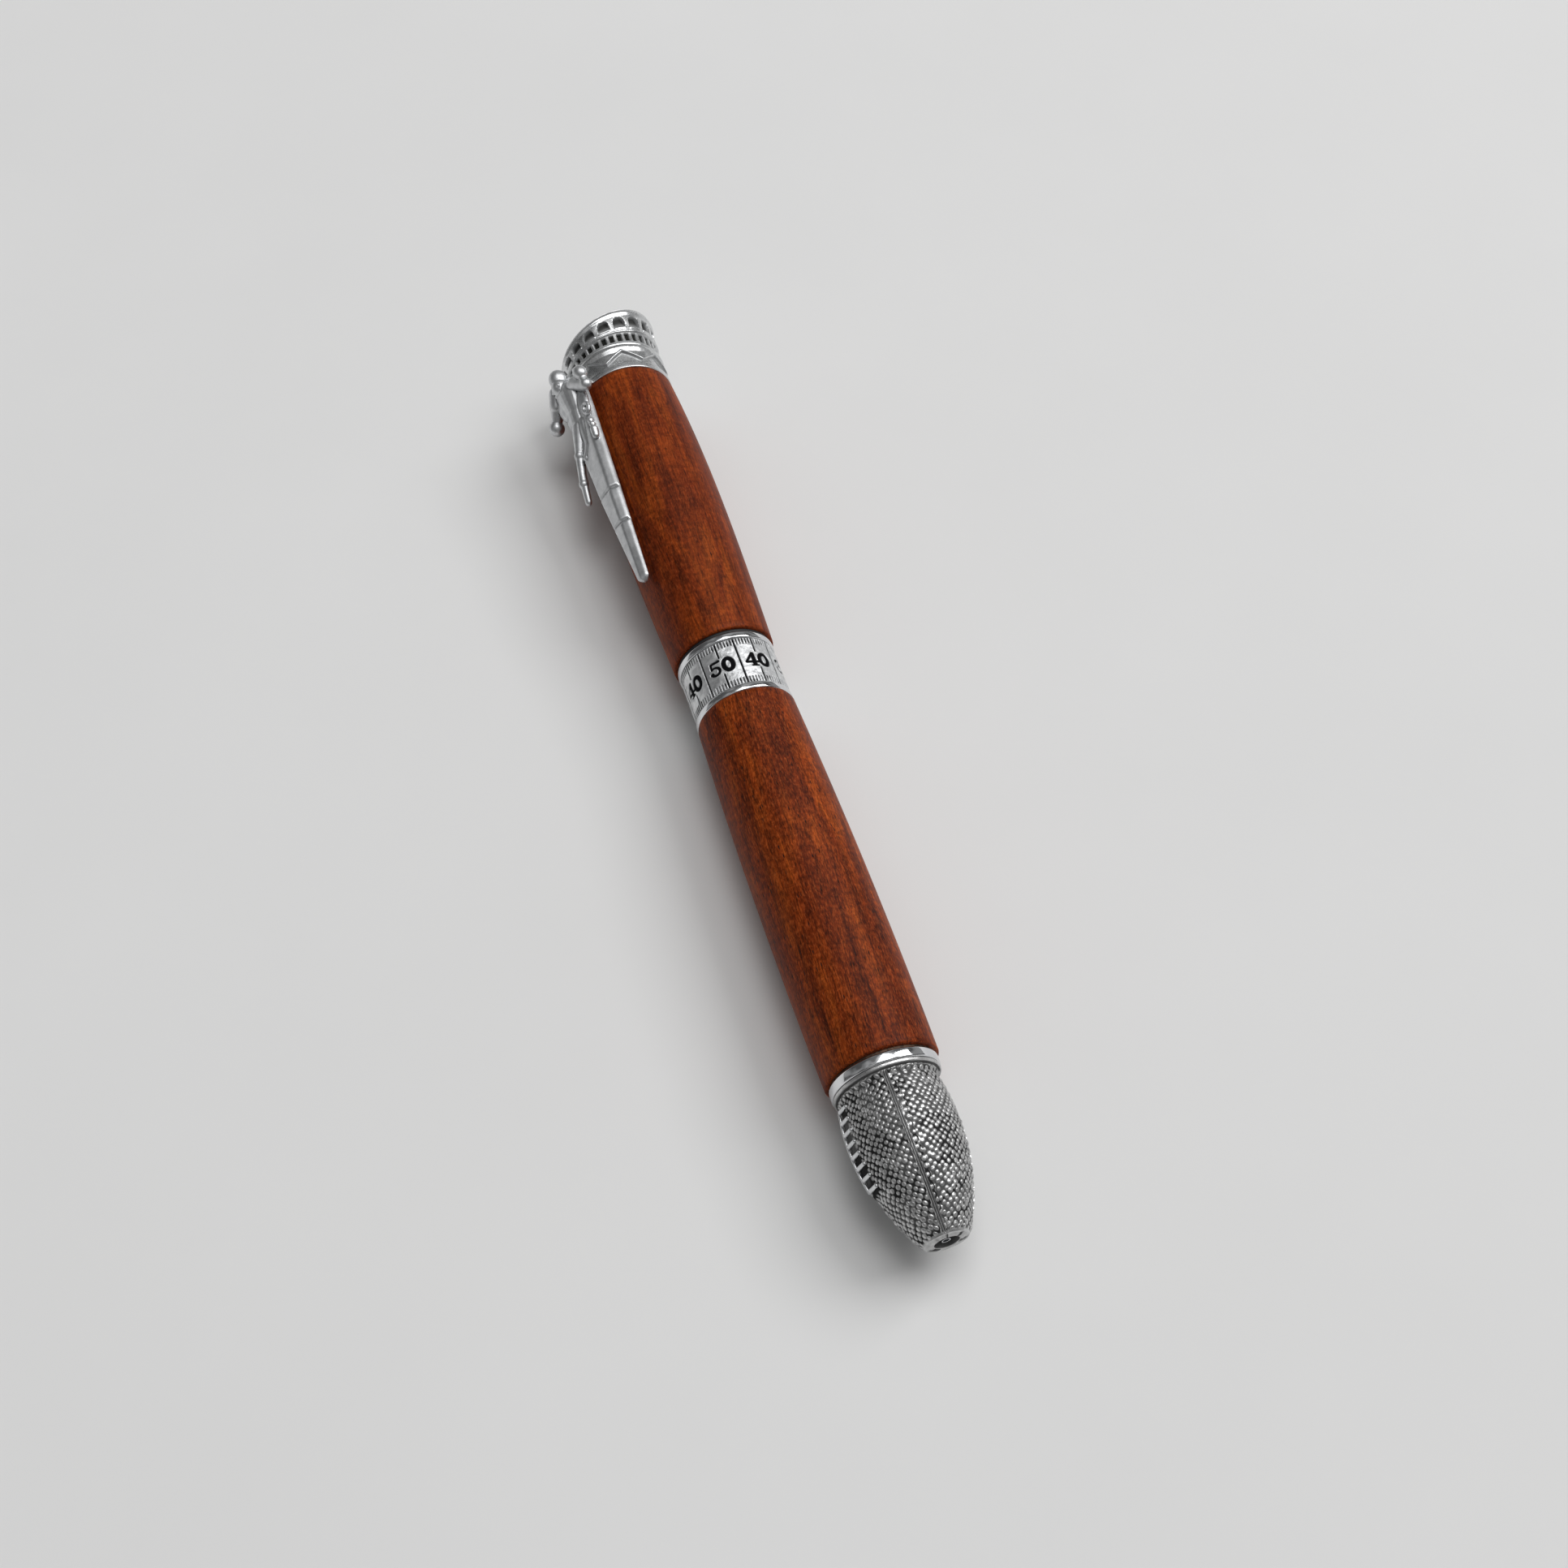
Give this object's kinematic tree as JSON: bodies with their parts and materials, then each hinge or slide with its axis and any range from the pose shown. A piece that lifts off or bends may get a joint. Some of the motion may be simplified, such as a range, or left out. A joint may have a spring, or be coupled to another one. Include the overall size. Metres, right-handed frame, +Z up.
{
  "type": "mechanical pencil",
  "caption": "Twist-action mechanical pencil with turned wood barrels, a football-shaped nose, a yard-line centre band, a cast figure clip and a stadium-shaped finial.",
  "frame": {"origin": "centre of the flat ring round the writing mouth, on the pencil's axis", "axes": "+X along the axis from the writing mouth to the finial, +Z up as the pencil lies on a table, +Y to the side towards which the clip leans"},
  "size_m": [0.134, 0.0183, 0.0162],
  "materials": {
    "antique_pewter": "cast zinc with an antique pewter plating, dark in the recesses",
    "bright_pewter": "cast zinc with a bright pewter plating, softly polished",
    "polished_chrome": "polished plating",
    "barrel_wood": "turned orange-red hardwood with a satin finish",
    "brass": "drawn brass",
    "drawn_steel": "drawn steel, nickel plated",
    "spring_steel": "bright spring wire",
    "black_acetal": "black acetal",
    "white_plastic": "moulded white plastic",
    "rubber": "soft rubber",
    "graphite": "graphite lead"
  },
  "bodies": {
    "lower_barrel": {"nose_cone": "antique_pewter", "nose_ring": "polished_chrome", "front_coupler": "brass", "lower_wood": "barrel_wood", "lower_tube": "brass", "band_front_ring": "polished_chrome", "band_sleeve": "antique_pewter", "band_rear_ring": "polished_chrome", "centre_coupler": "brass", "guide_sleeve": "drawn_steel", "return_spring": "spring_steel"},
    "upper_barrel": {"thrust_washer": "black_acetal", "upper_wood": "barrel_wood", "upper_tube": "brass", "cam_sleeve": "drawn_steel", "clip": "bright_pewter", "finial": "bright_pewter", "finial_bushing": "brass", "finial_screw": "drawn_steel"},
    "cartridge": {"cartridge_tube": "drawn_steel", "cartridge_cone": "polished_chrome", "lead_sleeve": "drawn_steel", "lead_retainer": "rubber", "feed_spring": "spring_steel"},
    "chuck": {"collet_chuck": "brass", "clutch_ring": "brass", "lead_tube": "white_plastic", "feed_cap": "white_plastic", "plunger": "white_plastic", "cam_pin": "drawn_steel", "lead": "graphite", "spare_leads": "graphite"}
  },
  "joints": [
    {"name": "twist", "type": "hinge", "parent": "lower_barrel", "child": "upper_barrel", "pos_m": [0.0785, 0, 0], "axis": [1, 0, 0], "range_deg": [0, 180]},
    {"name": "cartridge_slide", "type": "slide", "parent": "lower_barrel", "child": "cartridge", "axis": [-1, 0, 0], "range_m": [0, 0.0055], "deforming": ["return_spring"]},
    {"name": "lead_feed", "type": "slide", "parent": "cartridge", "child": "chuck", "axis": [-1, 0, 0], "range_m": [0, 0.0007], "stiffness_N_per_m": 300, "deforming": ["feed_spring"]}
  ],
  "couplings": [
    {"joint": "twist", "follows": "cartridge_slide", "rad_per_m": 571.2}
  ]
}
